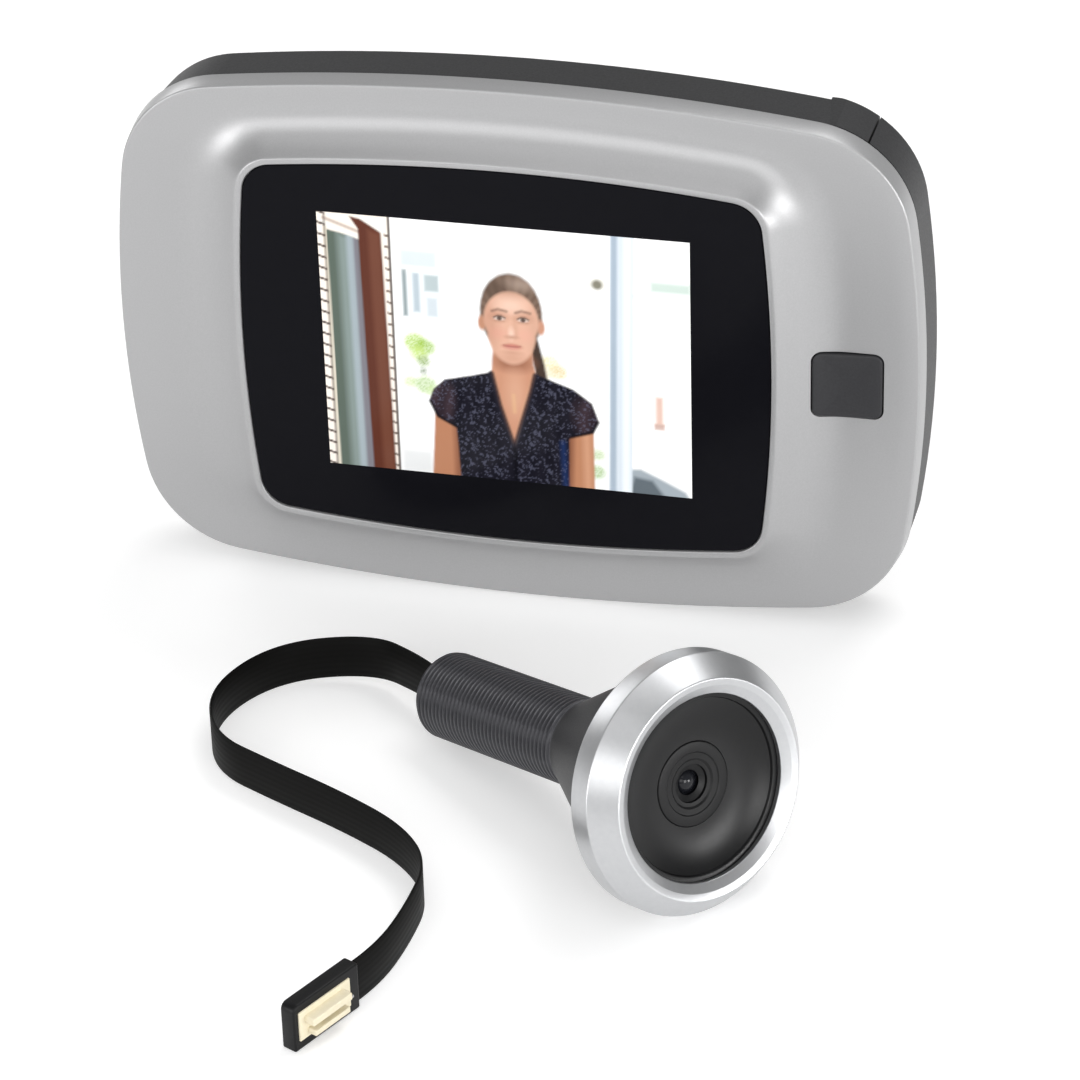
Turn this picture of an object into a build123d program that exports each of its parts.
from build123d import *
from math import atan2, cos, degrees, hypot, pi, radians, sin, sqrt, tan
import os

# A door viewer set on one table top: a display unit that stands on its lower edge, its mounting
# plate and clamp nut at the back, and the lens unit that lies in front on its ring and barrel,
# with its flat ribbon and connector. Lengths are in millimetres, Z is up, the screen faces -Y.

# Display body, seen from the front: bowed sides with large corners
body_half_w = 62.4
body_half_h = 42.75
body_side_bow = 4.15
body_top_bow = 4.55
body_corner = 16.9
# Depths of the display, from the flat land round the rim
mound_rise = 4.2
band_depth = 3.7
seam_gap = 0.4
rear_depth = 10.4
rim_round = 0.7
front_wall = 1.8
rear_wall = 1.5
rear_side_wall = 1.8
rear_draft = 0.35
rear_inset = 0.25
back_round = 1.4
# Land that is left round the sculpted mound
land_left = 8.0
land_right = 10.0
land_top = 2.7
land_bottom = 2.7
mound_side_bow = 3.9
mound_top_bow = 4.1
mound_corner = 15.0
mound_power = 2.3
mound_station_shares = (0.0, 0.1, 0.24, 0.42, 0.66, 1.0)
core_station_shares = (0.3, 0.62, 1.0)
# Screen window and the bead round it
window_half_w = 40.85
window_half_h = 30.95
window_side_bow = 1.87
window_top_bow = 2.39
window_corner = 4.9
window_x = -0.35
window_z = 0.5
window_thick = 1.2
window_sunk = 0.2
window_gap = 0.12
window_edge = 0.15
window_ledge = 2.0
bead_width = 1.0
bead_round = 0.42
# Screen module behind the window
screen_w = 56.9
screen_h = 42.7
screen_z = 1.32
glass_w = 65.5
glass_h = 49.6
glass_thick = 1.9
polariser_thick = 0.3
polariser_margin = 1.0
gasket_thick = 0.4
gasket_width = 2.2
tray_wall = 0.3
tray_depth = 1.7
tray_gap = 0.06
pad_w = 30.0
pad_h = 40.0
# Boards
board_thick = 1.0
board_seat_gap = 0.1
board_side_gap = 6.4
board_right = 1.6
board_top_gap = 9.55
board_corner = 9.0
chip_w = 9.0
chip_thick = 1.1
chip_pitch = 13.0
# View button and its switch
button_w = 10.35
button_h = 10.45
button_inset = 11.05
button_z = -0.4
button_corner = 1.3
button_proud = 0.3
button_gap = 0.22
button_edge = 0.25
button_flange = 0.9
button_flange_thick = 0.8
button_flange_gap = 0.1
button_travel = 0.5
switch_w = 6.0
switch_h = 3.4
plunger_r = 1.7
plunger_gap = 0.05
post_r = 1.6
post_pitch = 21.0
switch_board_w = 9.0
switch_board_h = 26.0
# Battery bay and cells
cell_r = 5.1
cell_length = 43.4
cell_nub_r = 1.9
cell_nub = 1.0
cell_edge = 0.4
cell_pitch = 10.6
cell_count = 4
cell_seat_gap = 0.1
bay_left = 0.6
bay_side_gap = 0.3
contact_room = 2.8
bay_wall = 1.1
bay_floor = 0.7
bay_wall_gap = 1.5
contact_thick = 0.4
contact_w = 8.6
contact_bow = 2.2
contact_leaf_w = 4.0
# Battery cover
cover_wrap = 9.0
cover_foot = 16.05
cover_left = 1.5
cover_gap = 0.3
cover_travel = 12.0
tongue_thick = 0.7
tongue_drop = 0.4
tongue_reach = 1.6
tongue_rib = 0.7
tongue_left = 6.0
tongue_right = 38.0
grip_count = 6
grip_pitch = 2.2
grip_r = 0.45
grip_length = 18.0
grip_x = 34.0
proud_width = 16.4
proud_ramp = 3.4
# Rear shell: pocket for the plate, well for the barrel's end, screws
plate_w = 46.0
plate_inset = 16.75
plate_thick = 2.0
plate_corner = 5.0
plate_proud = 0.3
plate_x = -28.0
plate_z = 3.8
pocket_gap = 0.4
pocket_depth = 2.3
pocket_wall = 1.4
lift_travel = 7.5
lift_room = 0.5
hub_r = 8.0
hub_gap = 0.05
hub_end_gap = 0.3
well_r = 13.0
well_wall = 1.4
well_floor_y = 5.2
well_floor_thick = 1.2
hook_pitch_x = 35.0
hook_inset = 6.5
hook_r = 1.2
hook_head_r = 2.3
hook_head_thick = 1.1
hook_gap = 0.3
hook_slot_gap = 0.3
plate_hole_r = 1.8
plate_hole_inset = 6.0
plate_hole_sink = 1.3
screw_r = 1.1
screw_head_r = 2.1
screw_head_thick = 1.3
screw_sunk = 0.6
screw_gap = 0.06
boss_r = 2.75
boss_gap = 0.1
boss_left_inset = 13.4
boss_left_drop = 9.55
boss_right_inset = 15.4
boss_right_drop = 11.05
spigot_thick = 1.1
spigot_gap = 0.15
spigot_reach = 1.6
spigot_root = 1.1
socket_w = 11.0
socket_t = 3.0
socket_length = 4.2
socket_z = -10.0
socket_slot = 1.2
socket_slot_depth = 2.5
socket_gap = 0.25
# Clamp nut
nut_r = 11.0
nut_thick = 5.0
nut_flutes = 12
nut_flute_r = 1.6
nut_edge = 0.5
nut_bore_gap = 0.1
# Lens unit: radii and depths behind the foremost edge of its ring
ring_r = 18.5
ring_depth = 7.0
ring_bevel_r = 15.6
ring_bevel_depth = 3.4
ring_crest_r = 14.6
ring_crest_depth = 0.33
ring_mouth_r = 13.3
ring_mouth_depth = 1.1
ring_lip_depth = 1.9
ring_rebate_r = 14.2
ring_round = 0.35
fit_gap = 0.06
bowl_rim_thick = 1.1
bowl_root_r = 12.6
bowl_wall = 1.0
bowl_mid_r = 9.8
bowl_mid_depth = 3.35
bowl_eye_r = 6.1
bowl_eye_depth = 3.9
bowl_neck_r = 7.2
retainer_face_depth = 3.75
retainer_cone_r = 3.6
retainer_cone_depth = 4.0
retainer_step_r = 2.7
retainer_step_depth = 4.6
retainer_back_depth = 7.2
retainer_round = 0.15
lens_r = 2.1
lens_seen_r = 1.75
lens_top_depth = 4.5
lens_back_depth = 6.4
tube_r = 5.2
tube_wall = 1.0
tube_back_depth = 16.0
sensor_board_r = 8.0
sensor_board_thick = 1.0
sensor_w = 5.0
sensor_thick = 1.6
chamber_r = 8.6
chamber_back_depth = 19.0
body_mouth_r = 12.9
flange_r = 15.5
flange_depth = 9.5
neck_end_depth = 30.0
barrel_r = 6.5
barrel_bore_r = 5.1
barrel_end_depth = 61.5
barrel_edge = 0.4
plug_thick = 3.0
plug_sunk = 0.6
slit_w = 1.0
slit_h = 7.8
slit_depth = 1.5
# Place of the lens unit on the table: its ring and its barrel's end both touch down
unit_x = 47.0
unit_yaw = 52.0
set_depth = 104.6
lift_height = 50.0
# Ribbon, standing on edge, and its connector
ribbon_w = 7.0
ribbon_t = 0.4
exit_run = 3.2
ribbon_points = [
    (-6.1, 2.0, 6.3), (-15.2, 9.1, 4.5), (-29.4, 5.3, 3.6), (-35.4, -8.0, 3.6),
    (-31.3, -20.6, 3.6), (-19.8, -26.4, 3.6), (-8.4, -31.7, 3.6), (2.4, -38.0, 3.6),
    (8.4, -46.0, 3.6), (8.4, -57.0, 3.6), (7.1, -66.4, 3.6), (4.95, -71.05, 3.6),
]
run_share = 0.45
connector_l = 12.9
connector_t = 2.05
connector_h = 7.2
connector_edge = 0.5
connector_round = 1.2
socket_base_l = 11.2
socket_base_h = 4.4
socket_base_t = 0.5
socket_base_drop = 1.2
socket_bar_l = 9.4
socket_bar_h = 2.6
socket_bar_t = 1.1
socket_bar_edge = 0.25
socket_bar_drop = 0.6
socket_bar_slot = 0.9
pin_count = 8
pin_pitch = 1.0
pin_w = 0.35
# One overrun for every cut
over = 4.0

# Derived places. Depth values count from the land plane of the display, back is positive.
mid_z = body_half_h
boss_split_y = band_depth
boss_left_x = boss_left_inset - body_half_w
boss_left_z = body_half_h - boss_left_drop
boss_right_x = body_half_w - boss_right_inset
boss_right_z = body_half_h - boss_right_drop
board_left = body_half_w - board_side_gap
board_half_h = body_half_h - board_top_gap
button_x = body_half_w - button_inset
cover_seam_x = body_half_w - cover_wrap
cover_low_z = cover_foot - body_half_h
proud_x = body_half_w - proud_width
plate_h = 2 * (body_half_h - plate_inset)
hook_pitch_z = plate_h - 2 * hook_inset
plate_hole_pitch = plate_h - 2 * plate_hole_inset
bay_half_h = (cell_length + cell_nub) / 2 + contact_room + contact_thick
seam_y = band_depth + seam_gap
back_y = seam_y + rear_depth
land_y = set_depth / 2 - back_y - plate_proud
window_front = window_sunk - mound_rise
window_back = window_front + window_thick
glass_front = window_back + gasket_thick
glass_back = glass_front + glass_thick
tray_back = glass_back + tray_gap + tray_wall
board_front = front_wall + board_seat_gap
bay_front = front_wall + board_seat_gap
cell_y = back_y - rear_wall - cell_seat_gap - cell_r
bay_right = bay_left + 2 * bay_side_gap + cell_count * cell_pitch
pocket_y = back_y - pocket_depth
pocket_inner_y = pocket_y - pocket_wall
plate_back = back_y + plate_proud
plate_front = plate_back - plate_thick
rim = (body_half_w, body_half_h, body_side_bow, body_top_bow, body_corner, 0, 0)
window_outline = (window_half_w, window_half_h, window_side_bow, window_top_bow, window_corner,
                  window_x, window_z)


def grown(outline, by):
    """An outline moved outward by a distance, or inward where it is negative."""
    half_w, half_h, bow_w, bow_h, corner, x, z = outline
    return (half_w + by, half_h + by, bow_w, bow_h, corner + by, x, z)


def between(inner, outer, share):
    """The outline part of the way from an inner one to an outer one."""
    return tuple(a + (b - a) * share for a, b in zip(inner, outer))


bead_outline = grown(window_outline, bead_width)
mound_half_w = body_half_w - (land_left + land_right) / 2
mound_half_h = body_half_h - (land_top + land_bottom) / 2
mound_outline = (mound_half_w, mound_half_h, mound_side_bow, mound_top_bow, mound_corner,
                 (land_left - land_right) / 2, (land_bottom - land_top) / 2)


def station(depth):
    """Plane across the display at a depth behind the land, centred on the body."""
    return Plane(origin=(0, land_y + depth, mid_z), x_dir=(1, 0, 0), z_dir=(0, -1, 0))


def bowed(half_w, half_h, bow_w, bow_h, corner, x, z):
    """A rectangle with four bowed sides and rounded corners."""
    w = half_w - bow_w
    h = half_h - bow_h
    sides = [
        ThreePointArc((x - w, z + h), (x, z + half_h), (x + w, z + h)),
        ThreePointArc((x + w, z + h), (x + half_w, z), (x + w, z - h)),
        ThreePointArc((x + w, z - h), (x, z - half_h), (x - w, z - h)),
        ThreePointArc((x - w, z - h), (x - half_w, z), (x - w, z + h)),
    ]
    face = make_face(sides)
    return fillet(face.vertices(), corner)


def slab(sketch, front, back):
    """A sketch of the display's front view, given depth from front to back."""
    return extrude(station(back) * sketch, back - front)


def block(x0, x1, z0, z1, front, back):
    """A plain block between two depths, its corners given from the body's middle."""
    sketch = Pos((x0 + x1) / 2, (z0 + z1) / 2) * Rectangle(x1 - x0, z1 - z0)
    return slab(sketch, front, back)


def disc(x, z, r, front, back):
    """A round bar along the depth."""
    return slab(Pos(x, z) * Circle(r), front, back)


def obround(x, z_top, z_low, r, front, back):
    """A round bar drawn down into a slot."""
    sketch = Pos(x, z_top) * Circle(r) + Pos(x, z_low) * Circle(r)
    sketch += Pos(x, (z_top + z_low) / 2) * Rectangle(2 * r, z_top - z_low)
    return slab(sketch, front, back)


def mound_height(share):
    """Height of the mound above the land, from the bead at 0 to the land at 1."""
    return mound_rise * (1 - share) ** mound_power


def mound():
    """The swept rise from the land to the bead, steepest beside the window."""
    sections = []
    for share in reversed(mound_station_shares):
        outline = between(bead_outline, mound_outline, share)
        sections.append(station(-mound_height(share)) * bowed(*outline))
    return loft(sections)


def front_solid():
    """Rim slab and mound before anything is cut."""
    slab_part = slab(bowed(*rim), 0, band_depth)
    slab_part = fillet(slab_part.faces().sort_by(Axis.Y)[0].edges(), rim_round)
    rise = mound()
    rise = fillet(rise.faces().sort_by(Axis.Y)[0].edges(), bead_round)
    return slab_part + rise


def front_hollow():
    """Space behind the front wall, cored out under the mound."""
    hollow = slab(bowed(*grown(rim, -front_wall)), front_wall, band_depth + over)
    outline = grown(mound_outline, -front_wall)
    sections = [station(band_depth) * bowed(*outline)]
    for share in reversed(core_station_shares):
        outline = grown(between(bead_outline, mound_outline, share), -front_wall)
        sections.append(station(front_wall - mound_height(share)) * bowed(*outline))
    return hollow + loft(sections, ruled=True)


def boss_places():
    """Screw places from the body's middle."""
    return [(boss_left_x, boss_left_z), (boss_left_x, -boss_left_z),
            (boss_right_x, boss_right_z), (boss_right_x, -boss_right_z)]


def button_sketch(by):
    """The button's outline, grown by a distance."""
    sketch = RectangleRounded(button_w + 2 * by, button_h + 2 * by, button_corner + by)
    return Pos(button_x, button_z) * sketch


def front_shell():
    """Silver front moulding: rim, sculpted mound, bead, window seat and button hole."""
    seat_wall = slab(bowed(*grown(window_outline, window_gap)), -mound_rise, front_wall)
    shell = front_solid() - (front_hollow() - seat_wall)
    shell -= slab(bowed(*grown(window_outline, window_gap)), -mound_rise - over, window_back)
    shell -= slab(bowed(*grown(window_outline, -window_ledge)), -mound_rise - over, band_depth)
    shell -= slab(button_sketch(button_gap), -over, front_wall + over)
    inside = front_solid() + slab(bowed(*grown(rim, -front_wall)), 0, boss_split_y)
    for x, z in boss_places():
        shell += disc(x, z, boss_r, -mound_rise, boss_split_y) & inside
        shell -= disc(x, z, screw_r + screw_gap, front_wall + screw_sunk, boss_split_y + over)
    for side in (-1, 1):
        shell += disc(button_x, button_z + side * post_pitch / 2, post_r, front_wall, switch_board_y())
    return shell


def screen_window():
    """Black-bordered cover glass with softly bowed sides."""
    glass = slab(bowed(*window_outline), window_front, window_back)
    return chamfer(glass.faces().sort_by(Axis.Y)[0].edges(), window_edge)


def screen_block(w, h, front, back):
    """A block centred on the screen."""
    return block(-w / 2, w / 2, screen_z - h / 2, screen_z + h / 2, front, back)


def lcd_gasket():
    """Foam frame between the window and the screen module."""
    inner_w = glass_w - 2 * gasket_width
    inner_h = glass_h - 2 * gasket_width
    ring = screen_block(glass_w, glass_h, window_back, glass_front)
    return ring - screen_block(inner_w, inner_h, window_back - over, glass_front + over)


def lcd_panel():
    """Screen glass with its polariser standing in the gasket."""
    panel = screen_block(glass_w, glass_h, glass_front, glass_back)
    w = screen_w + 2 * polariser_margin
    h = screen_h + 2 * polariser_margin
    return panel + screen_block(w, h, glass_front - polariser_thick, glass_front)


def lcd_tray():
    """Thin folded metal tray that holds the screen glass from behind."""
    w = glass_w + 2 * tray_gap
    h = glass_h + 2 * tray_gap
    outer = screen_block(w + 2 * tray_wall, h + 2 * tray_wall, tray_back - tray_depth, tray_back)
    return outer - screen_block(w, h, tray_back - tray_depth - over, tray_back - tray_wall)


def lcd_pad():
    """Foam pad between the tray and the main board."""
    right = -board_right
    return block(right - pad_w, right, screen_z - pad_h / 2, screen_z + pad_h / 2,
                 tray_back, board_front)


def main_board():
    """Circuit board behind the left half of the screen, notched round the screw bosses."""
    board = block(-board_left, -board_right, -board_half_h, board_half_h,
                  board_front, board_front + board_thick)
    left_edges = board.edges().filter_by(Axis.Y).sort_by(Axis.X)[:2]
    board = fillet(left_edges, board_corner)
    for x, z in boss_places():
        board -= disc(x, z, boss_r + screw_sunk, board_front - over, board_front + over)
    return board


def board_chips():
    """Three packages on the board's rear face."""
    front = board_front + board_thick
    x = -board_right - chip_w * 3 / 5
    chips = []
    for row in (-1, 0, 1):
        z = row * chip_pitch
        chips.append(block(x - chip_w / 2, x + chip_w / 2, z - chip_w / 2, z + chip_w / 2,
                           front, front + chip_thick))
    return Compound(children=chips)


def ribbon_socket():
    """Header on the main board that stands into the well for the ribbon's connector."""
    front = board_front + board_thick
    back = front + socket_length
    body = block(plate_x - socket_w / 2, plate_x + socket_w / 2,
                 socket_z - socket_t / 2, socket_z + socket_t / 2, front, back)
    slot_w = socket_w - 2 * socket_slot
    return body - block(plate_x - slot_w / 2, plate_x + slot_w / 2, socket_z - socket_slot / 2,
                        socket_z + socket_slot / 2, back - socket_slot_depth, back + over)


def button_back():
    """Depth of the flange's rear face."""
    return front_wall + button_flange_gap + button_flange_thick


def switch_front():
    """Depth of the switch housing's front face, clear of the pressed button."""
    return button_back() + button_travel + button_gap


def switch_board_y():
    """Depth of the small board's front face."""
    return switch_front() + switch_h


def view_button():
    """Rounded-square key whose face follows the shell and stands slightly proud of it."""
    proud = Pos(0, -button_proud, 0) * front_solid()
    cap = slab(button_sketch(0), -mound_rise, front_wall + button_flange_gap)
    cap = cap & (proud + slab(button_sketch(0), front_wall - button_proud, button_back()))
    face = cap.faces().sort_by(Axis.Y)[0]
    cap = chamfer(face.edges(), button_edge)
    return cap + slab(button_sketch(button_flange), front_wall + button_flange_gap, button_back())


def switch_plunger():
    """Round actuator between the button and the switch."""
    return disc(button_x, button_z, plunger_r, button_back(), switch_front() + switch_h / 2)


def button_switch():
    """Tact switch housing with a bore for the plunger."""
    half = switch_w / 2
    body = block(button_x - half, button_x + half, button_z - half, button_z + half,
                 switch_front(), switch_board_y())
    bore_end = switch_front() + switch_h / 2 + button_travel + button_gap
    return body - disc(button_x, button_z, plunger_r + plunger_gap, switch_front() - over, bore_end)


def switch_board():
    """Small board across the two posts."""
    return block(button_x - switch_board_w / 2, button_x + switch_board_w / 2,
                 button_z - switch_board_h / 2, button_z + switch_board_h / 2,
                 switch_board_y(), switch_board_y() + board_thick)


def top_edge_z(x):
    """Height of the body's top edge above its middle."""
    return body_half_h - body_top_bow * (x / (body_half_w - body_side_bow)) ** 2


def proud_region():
    """Front view of the proud end, whose top and foot rise over a ramp, through the rear depth."""
    foot_z = top_edge_z(proud_x) - rear_inset - rear_draft
    head_x = proud_x + proud_ramp
    head_z = top_edge_z(head_x)
    far = body_half_w + over
    upper = [(proud_x, foot_z), (head_x, head_z), (head_x, head_z + over), (far, head_z + over)]
    lower = [(x, -z) for x, z in reversed(upper)]
    return slab(make_face(Polyline(*upper, *lower, close=True)), seam_y - over, back_y + over)


def rear_outer():
    """Outside of the rear housing: drafted walls, and a proud end beside the battery cover."""
    front_outline = grown(rim, -rear_inset)
    back_outline = grown(rim, -rear_inset - rear_draft)
    drafted = loft([station(seam_y) * bowed(*front_outline), station(back_y) * bowed(*back_outline)],
                   ruled=True)
    drafted = fillet(drafted.faces().sort_by(Axis.Y)[-1].edges(), back_round)
    proud = slab(bowed(*rim), seam_y, back_y)
    proud = fillet(proud.faces().sort_by(Axis.Y)[-1].edges(), back_round)
    return drafted + (proud & proud_region())


def rear_inner():
    """Space inside the rear housing."""
    inside = grown(rim, -rear_inset - rear_draft - rear_side_wall)
    return slab(bowed(*inside), seam_y - over, back_y - rear_wall)


def cover_region(gap):
    """Space that the battery cover takes, grown by a gap on its seams."""
    wrap = block(cover_seam_x - gap, body_half_w + over, cover_low_z - gap, body_half_h + over,
                 seam_y - over, back_y + over)
    panel = block(cover_left - gap, cover_seam_x, cover_low_z - gap, -cover_low_z + gap,
                  back_y - rear_wall - over / 2, back_y + over)
    return wrap + panel


def spigot():
    """Thin wall that steps into the front shell."""
    outer = bowed(*grown(rim, -front_wall - spigot_gap))
    inner = bowed(*grown(rim, -front_wall - spigot_gap - spigot_thick))
    front = band_depth - spigot_reach
    back = seam_y + spigot_root
    wall = slab(outer, front, back) - slab(inner, front - over, back + over)
    for x, z in boss_places():
        wall -= disc(x, z, boss_r + boss_gap, front - over, boss_split_y + boss_gap)
    return wall


def plate_sketch(by, drop):
    """The plate's outline grown by a gap and drawn down by the lift travel."""
    w = plate_w + 2 * by
    h = plate_h + 2 * by + drop
    return Pos(plate_x, plate_z - drop / 2) * RectangleRounded(w, h, plate_corner + by)


def hook_places():
    """Places of the plate's four hooks from the body's middle."""
    return [(plate_x + sx * hook_pitch_x / 2, plate_z + sz * hook_pitch_z / 2)
            for sx in (-1, 1) for sz in (-1, 1)]


def rear_shell():
    """Dark rear housing with the plate's pocket, the barrel's well and the battery bay."""
    outer = rear_outer()
    drop = lift_travel + lift_room
    low = plate_z - drop
    inside = rear_inner()
    shell = outer - inside + spigot()
    core = slab(plate_sketch(pocket_gap + pocket_wall, drop), pocket_inner_y, back_y - rear_wall)
    core += obround(plate_x, plate_z, low, well_r + well_wall,
                    well_floor_y - well_floor_thick, back_y - rear_wall)
    core += block(bay_left - bay_wall, bay_right + bay_wall, -bay_half_h - bay_wall,
                  bay_half_h + bay_wall, bay_front, back_y - rear_wall - bay_wall_gap)
    core += block(bay_left - bay_wall, bay_left, -bay_half_h - bay_wall, bay_half_h + bay_wall,
                  bay_front, back_y - rear_wall)
    for x, z in boss_places():
        core += disc(x, z, boss_r, boss_split_y + boss_gap, back_y - rear_wall)
    shell += core & (inside + slab(bowed(*grown(rim, -front_wall - spigot_gap)), 0, seam_y))
    shell -= slab(plate_sketch(pocket_gap, drop), pocket_y, back_y + over)
    shell -= obround(plate_x, plate_z, low, well_r, well_floor_y, back_y + over)
    for x, z in hook_places():
        shell -= obround(x, z, z - lift_travel, hook_r + hook_slot_gap, pocket_inner_y - over, pocket_y)
        shell -= disc(x, z - lift_travel, hook_head_r + hook_slot_gap, pocket_inner_y - over, pocket_y)
    shell -= block(bay_left, bay_right, -bay_half_h, bay_half_h, bay_front + bay_floor, back_y + over)
    for x, z in boss_places():
        shell -= disc(x, z, screw_r + screw_gap, boss_split_y - over, back_y + over)
        shell -= disc(x, z, screw_head_r + screw_gap, back_y - screw_sunk - screw_head_thick, back_y + over)
    shell -= block(plate_x - socket_w / 2 - socket_gap, plate_x + socket_w / 2 + socket_gap,
                   socket_z - socket_t / 2 - socket_gap, socket_z + socket_t / 2 + socket_gap,
                   0, well_floor_y)
    return shell - cover_region(cover_gap)


def battery_cover():
    """Sliding cover: back panel, wrapped right end, tongues and grip ribs."""
    cover = (rear_outer() - rear_inner()) & cover_region(0)
    panel_inner = back_y - rear_wall
    edge = -cover_low_z
    for side in (-1, 1):
        near = side * (edge - tongue_rib)
        far = side * edge
        tip = side * (edge + tongue_reach)
        cover += block(tongue_left, tongue_right, min(near, far), max(near, far),
                       panel_inner - tongue_drop - tongue_thick, panel_inner)
        cover += block(tongue_left, tongue_right, min(near, tip), max(near, tip),
                       panel_inner - tongue_drop - tongue_thick, panel_inner - tongue_drop)
    for k in range(grip_count):
        x = grip_x + k * grip_pitch
        cut = station(back_y) * (Pos(x, 0) * Rot(X=90) * Cylinder(grip_r, grip_length))
        cover -= cut
    return cover


def cell_places():
    """Cell centres across the bay, with every other cell turned over."""
    first = bay_left + bay_side_gap + cell_pitch / 2
    return [(first + k * cell_pitch, 1 if k % 2 == 0 else -1) for k in range(cell_count)]


def battery_cells():
    """Four slim round cells, each with its raised end."""
    cells = []
    for x, way in cell_places():
        can = Cylinder(cell_r, cell_length)
        can = chamfer(can.edges(), cell_edge)
        can += Pos(0, 0, way * (cell_length + cell_nub) / 2) * Cylinder(cell_nub_r, cell_nub)
        cells.append(Pos(x, land_y + cell_y, mid_z - way * cell_nub / 2) * can)
    return Compound(children=cells)


def battery_contacts():
    """End plates with a bowed leaf that bears on each cell."""
    pieces = []
    reach = bay_half_h - contact_thick
    tip = (cell_length + cell_nub) / 2
    for x, way in cell_places():
        for side in (-1, 1):
            gap = reach - tip
            plate = Box(contact_w, contact_w, contact_thick)
            leaf_top = gap - cell_seat_gap
            w = contact_w / 2
            arc = ThreePointArc((-w, 0), (0, leaf_top), (w, 0))
            under = ThreePointArc((w - contact_thick, 0), (0, leaf_top - contact_thick),
                                  (-w + contact_thick, 0))
            face = make_face([arc, Line((w, 0), (w - contact_thick, 0)), under,
                              Line((-w + contact_thick, 0), (-w, 0))])
            leaf = extrude(Plane.XZ * face, contact_leaf_w / 2, both=True)
            leaf = Pos(0, 0, contact_thick / 2) * leaf
            piece = plate + leaf
            if side > 0:
                piece = Rot(X=180) * piece
            z = side * (reach + contact_thick / 2)
            pieces.append(Pos(x, land_y + cell_y, mid_z + z) * piece)
    return Compound(children=pieces)


def housing_screws():
    """Four screws from the back into the front shell's bosses."""
    screws = []
    head_back = back_y - screw_sunk
    for x, z in boss_places():
        shank = disc(x, z, screw_r, front_wall + 2 * screw_sunk, head_back - screw_head_thick)
        head = disc(x, z, screw_head_r, head_back - screw_head_thick, head_back)
        socket = slab(Pos(x, z) * RegularPolygon(screw_r, 6), head_back - screw_head_thick / 2,
                      head_back + over)
        screws.append(shank + head - socket)
    return Compound(children=screws)


def mounting_plate():
    """Plate that stays on the door, with four hooks, a hub hole and two screw holes."""
    plate = slab(plate_sketch(0, 0), plate_front, plate_back)
    for side in (-1, 1):
        plate -= disc(plate_x, plate_z + side * plate_hole_pitch / 2, plate_hole_r,
                      plate_front - over, plate_back + over)
    rims = plate.edges().filter_by(GeomType.CIRCLE).filter_by(
        lambda e: e.center().Y < land_y + plate_front + plate_hole_r and e.is_closed)
    plate = chamfer(rims, plate_hole_sink)
    plate -= disc(plate_x, plate_z, hub_r, plate_front - over, plate_back + over)
    head_back = pocket_inner_y - hook_gap
    for x, z in hook_places():
        plate += disc(x, z, hook_r, head_back, plate_front)
        plate += disc(x, z, hook_head_r, head_back - hook_head_thick, head_back)
    return plate


def clamp_nut():
    """Fluted nut that turns in the plate's hub hole and takes the barrel."""
    back = plate_front - hub_end_gap
    front = back - nut_thick
    nut = disc(plate_x, plate_z, nut_r, front, back)
    nut = chamfer(nut.edges().filter_by(GeomType.CIRCLE), nut_edge)
    for k in range(nut_flutes):
        turn = 2 * pi * k / nut_flutes
        nut -= disc(plate_x + nut_r * cos(turn), plate_z + nut_r * sin(turn), nut_flute_r,
                    front - over, back + over)
    nut += disc(plate_x, plate_z, hub_r - hub_gap, back, plate_back - hub_end_gap)
    return nut - disc(plate_x, plate_z, barrel_r + nut_bore_gap, front - over, plate_back + over)


def unit_frame():
    """Place of the lens unit: the ring's foremost circle, with the axis out of the lens."""
    lean = atan2(ring_r - barrel_r, barrel_end_depth - ring_depth)
    yaw = radians(unit_yaw)
    axis = Vector(sin(yaw) * cos(lean), -cos(yaw) * cos(lean), sin(lean))
    z = ring_r * cos(lean) + ring_depth * sin(lean)
    side = sqrt(1 - axis.Y ** 2)
    reach = max(r * side + d * axis.Y for r, d in ((ring_bevel_r, 0), (ring_r, ring_bevel_depth)))
    y = reach - set_depth / 2
    return Plane(origin=(unit_x, y, z), x_dir=(cos(yaw), sin(yaw), 0), z_dir=tuple(axis))


def turned(points):
    """A closed profile of radius and depth pairs, or curves, turned about the lens axis."""
    edges = []
    for start, end in zip(points, points[1:] + points[:1]):
        if len(end) == 3:
            edges.append(ThreePointArc((start[0], -start[1]), (end[2][0], -end[2][1]), (end[0], -end[1])))
        else:
            edges.append(Line((start[0], -start[1]), (end[0], -end[1])))
    face = Plane.XZ * make_face(edges)
    return unit_frame() * revolve(face, Axis.Z, 360)


def trim_ring():
    """Turned metal ring: thin inner bevel, broad outer bevel and a plain side."""
    return turned([
        (ring_mouth_r, ring_mouth_depth), (ring_crest_r, ring_crest_depth), (ring_bevel_r, 0),
        (ring_r - ring_round, ring_bevel_depth - ring_round),
        (ring_r, ring_bevel_depth + ring_round), (ring_r, ring_depth),
        (ring_rebate_r, ring_depth), (ring_rebate_r, ring_lip_depth), (ring_mouth_r, ring_lip_depth),
    ])


def camera_bowl():
    """Black dish that falls from the ring to the lens."""
    rim_r = ring_rebate_r - fit_gap
    top = ring_lip_depth + fit_gap
    return turned([
        (rim_r, top), (rim_r, top + bowl_rim_thick), (bowl_root_r, top + bowl_rim_thick),
        (bowl_neck_r, bowl_eye_depth + bowl_wall, (bowl_mid_r + bowl_wall / 2, bowl_mid_depth + bowl_wall)),
        (bowl_neck_r, retainer_back_depth), (bowl_eye_r, retainer_back_depth),
        (bowl_eye_r, bowl_eye_depth),
        (rim_r - bowl_rim_thick / 2, top, (bowl_mid_r, bowl_mid_depth)),
    ])


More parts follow.
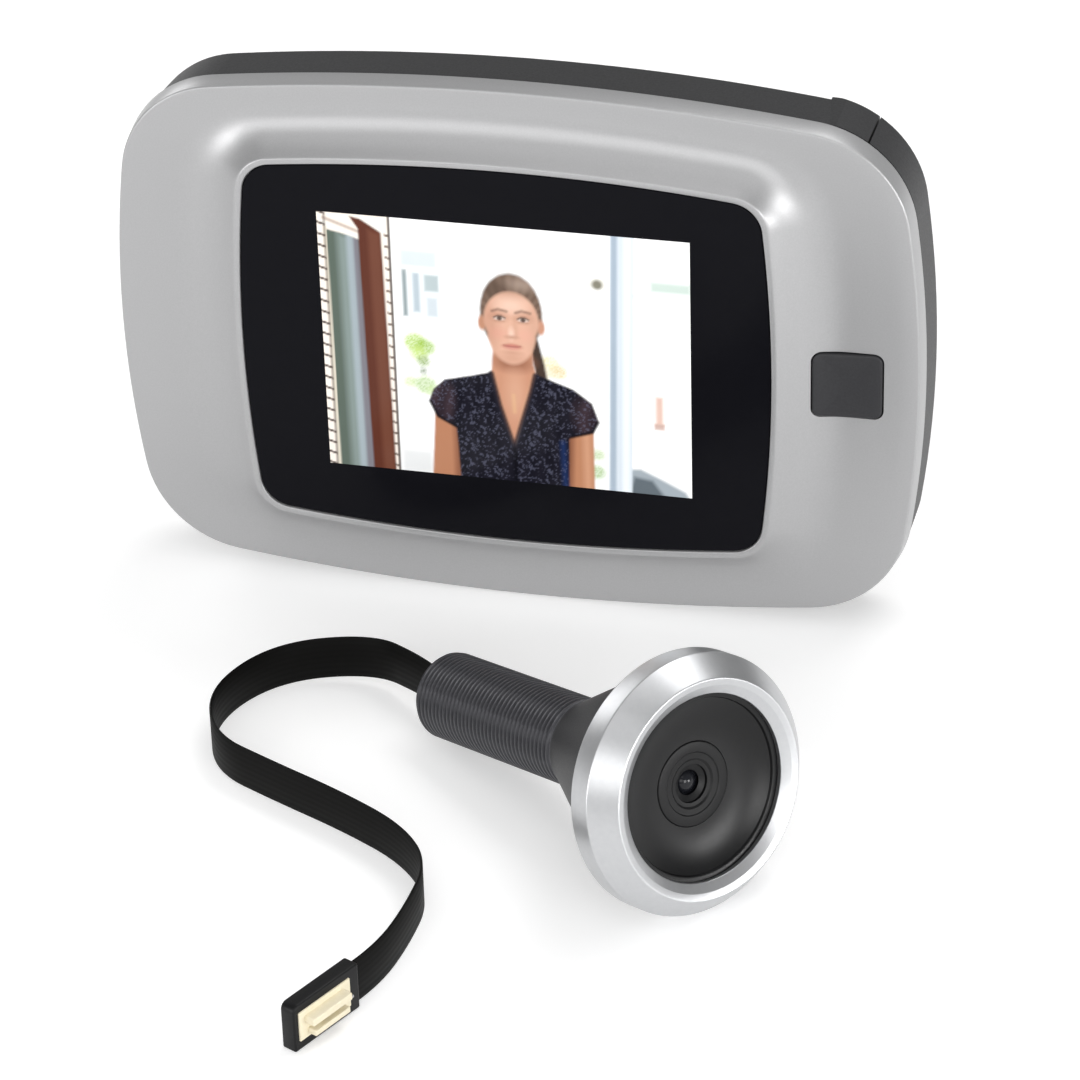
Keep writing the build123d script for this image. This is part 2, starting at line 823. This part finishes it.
def lens_retainer():
    """Stepped ring that holds the front lens in the dish."""
    r = bowl_eye_r - fit_gap
    return turned([
        (r, retainer_face_depth + retainer_round), (r, retainer_back_depth),
        (lens_r + fit_gap, retainer_back_depth), (lens_r + fit_gap, lens_top_depth + bowl_wall),
        (lens_seen_r, retainer_step_depth + retainer_cone_depth - retainer_face_depth),
        (retainer_step_r, retainer_step_depth), (retainer_step_r, retainer_cone_depth),
        (retainer_cone_r, retainer_cone_depth), (retainer_cone_r, retainer_face_depth),
        (r - retainer_round, retainer_face_depth),
    ])


def front_lens():
    """Domed glass lens."""
    shoulder = lens_top_depth + bowl_wall + fit_gap
    bulge = (lens_seen_r * run_share, lens_top_depth + retainer_round)
    return turned([
        (0, lens_back_depth), (0, lens_top_depth), (lens_seen_r - fit_gap, shoulder, bulge),
        (lens_r, shoulder), (lens_r, lens_back_depth),
    ])


def lens_tube():
    """Tube behind the lens that carries the sensor board."""
    top = retainer_back_depth + fit_gap
    return turned([
        (tube_r, top), (tube_r, tube_back_depth),
        (tube_r - tube_wall, tube_back_depth), (tube_r - tube_wall, top),
    ])


def sensor_board():
    """Round board behind the tube with the image sensor inside the tube."""
    top = tube_back_depth
    board = turned([(0, top), (sensor_board_r, top), (sensor_board_r, top + sensor_board_thick),
                    (0, top + sensor_board_thick)])
    chip = Pos(0, 0, sensor_thick / 2 - top) * Box(sensor_w, sensor_w, sensor_thick)
    return board + unit_frame() * chip


def camera_body():
    """Black housing: flange in the ring, flared neck, long barrel, all hollow."""
    rim_r = ring_rebate_r - fit_gap
    top = ring_lip_depth + 2 * fit_gap + bowl_rim_thick
    return turned([
        (rim_r, top), (rim_r, ring_depth + fit_gap), (flange_r, ring_depth + fit_gap),
        (flange_r, flange_depth), (barrel_r, neck_end_depth),
        (barrel_r, barrel_end_depth - barrel_edge), (barrel_r - barrel_edge, barrel_end_depth),
        (barrel_bore_r, barrel_end_depth), (barrel_bore_r, chamber_back_depth + barrel_bore_r),
        (chamber_r, chamber_back_depth), (chamber_r, retainer_back_depth),
        (body_mouth_r, top + bowl_wall), (body_mouth_r, top),
    ])


def cable_plug():
    """Plug in the barrel's end with a slit that the ribbon comes out of."""
    end = barrel_end_depth - plug_sunk
    plug = turned([(0, end - plug_thick), (barrel_bore_r - fit_gap, end - plug_thick),
                   (barrel_bore_r - fit_gap, end), (0, end)])
    slit = Pos(0, 0, slit_depth - end - over) * Box(slit_w, slit_h, 2 * over)
    return plug - unit_frame() * slit


def ribbon_start():
    """Middle of the floor of the plug's slit, where the ribbon begins."""
    frame = unit_frame()
    return frame.origin - frame.z_dir * (barrel_end_depth - plug_sunk - slit_depth)


def ribbon_corners():
    """Route of the ribbon from the plug to the connector."""
    start = ribbon_start()
    return [start, start - unit_frame().z_dir * exit_run] + [Vector(*p) for p in ribbon_points]


def ribbon_line():
    """Straight runs joined by the largest tangent arcs that they allow."""
    points = ribbon_corners()
    radii = []
    for a, b, c in zip(points, points[1:], points[2:]):
        turn = radians((b - a).get_angle(c - b))
        radii.append(run_share * min((b - a).length, (c - b).length) / tan(turn / 2))
    print("ribbon radii", [round(r, 1) for r in radii])
    return FilletPolyline(*points, radius=radii)


def ribbon_cable():
    """Flat ribbon that stands on its edge along its route."""
    line = ribbon_line()
    start = line @ 0
    heading = line % 0
    across = Vector(0, 0, 1).cross(heading).normalized()
    section = Plane(origin=start, x_dir=across, z_dir=heading) * Rectangle(ribbon_t, ribbon_w)
    cable = sweep(section, path=line)
    print("ribbon length", round(line.length, 1), "volume ratio",
          round(cable.volume / (line.length * ribbon_t * ribbon_w), 4))
    return cable


def connector_frame():
    """Place at the ribbon's end: X runs along the connector, Z is up."""
    points = ribbon_corners()
    end = points[-1]
    heading = end - points[-2]
    size = hypot(heading.X, heading.Y)
    along = (heading.X / size, heading.Y / size, 0)
    return Plane(origin=(end.X, end.Y, 0), x_dir=along, z_dir=(0, 0, 1))


def connector_shell():
    """Black housing on the ribbon's end."""
    middle = Pos(connector_l / 2, 0, connector_h / 2)
    shell = middle * Box(connector_l, connector_t, connector_h)
    far_top = shell.faces().sort_by(Axis.Z)[-1].edges().sort_by(Axis.X)[-1]
    shell = fillet(far_top, connector_round)
    shell = chamfer(shell.faces().sort_by(Axis.Y)[-1].edges(), connector_edge / 2)
    return connector_frame() * shell


def socket_middle():
    """Middle of the socket's base on the connector's mating face."""
    return Pos(connector_l / 2, connector_t / 2, connector_h - socket_base_drop - socket_base_h / 2)


def bar_rise():
    """Height of the bar's middle above the base's middle."""
    return (socket_base_h - socket_bar_h) / 2 - socket_bar_drop


def connector_socket():
    """Cream nylon socket: base and raised bar with a slot along it."""
    base = Box(socket_base_l, socket_base_t, socket_base_h)
    base = Pos(0, socket_base_t / 2, 0) * base
    bar = Box(socket_bar_l, socket_bar_t, socket_bar_h)
    bar = chamfer(bar.faces().sort_by(Axis.Y)[-1].edges(), socket_bar_edge)
    bar = Pos(0, socket_base_t + socket_bar_t / 2, bar_rise()) * bar
    slot = Box(pin_pitch * pin_count, socket_bar_t, socket_bar_slot)
    slot = Pos(0, socket_base_t + socket_bar_t, bar_rise()) * slot
    return connector_frame() * socket_middle() * (base + bar - slot)


def connector_pins():
    """Row of contacts in the socket's slot."""
    pins = []
    for k in range(pin_count):
        x = (k - (pin_count - 1) / 2) * pin_pitch
        pin = Box(pin_w, socket_bar_t / 2, pin_w)
        pin = Pos(x, socket_base_t + socket_bar_t * 3 / 4, bar_rise()) * pin
        pins.append(connector_frame() * socket_middle() * pin)
    return Compound(children=pins)


makers = [
    front_shell, screen_window, lcd_gasket, lcd_panel, lcd_tray, lcd_pad, main_board, board_chips,
    ribbon_socket, view_button, switch_plunger, button_switch, switch_board, rear_shell,
    battery_cover, battery_cells, battery_contacts, housing_screws, mounting_plate, clamp_nut,
    trim_ring, camera_bowl, lens_retainer, front_lens, lens_tube, sensor_board, camera_body,
    cable_plug, ribbon_cable, connector_shell, connector_socket, connector_pins,
]
os.makedirs("parts", exist_ok=True)
for maker in makers:
    export_step(maker(), "parts/" + maker.__name__ + ".step")
print("lens unit", unit_frame().origin, unit_frame().z_dir, "ribbon start", ribbon_start())
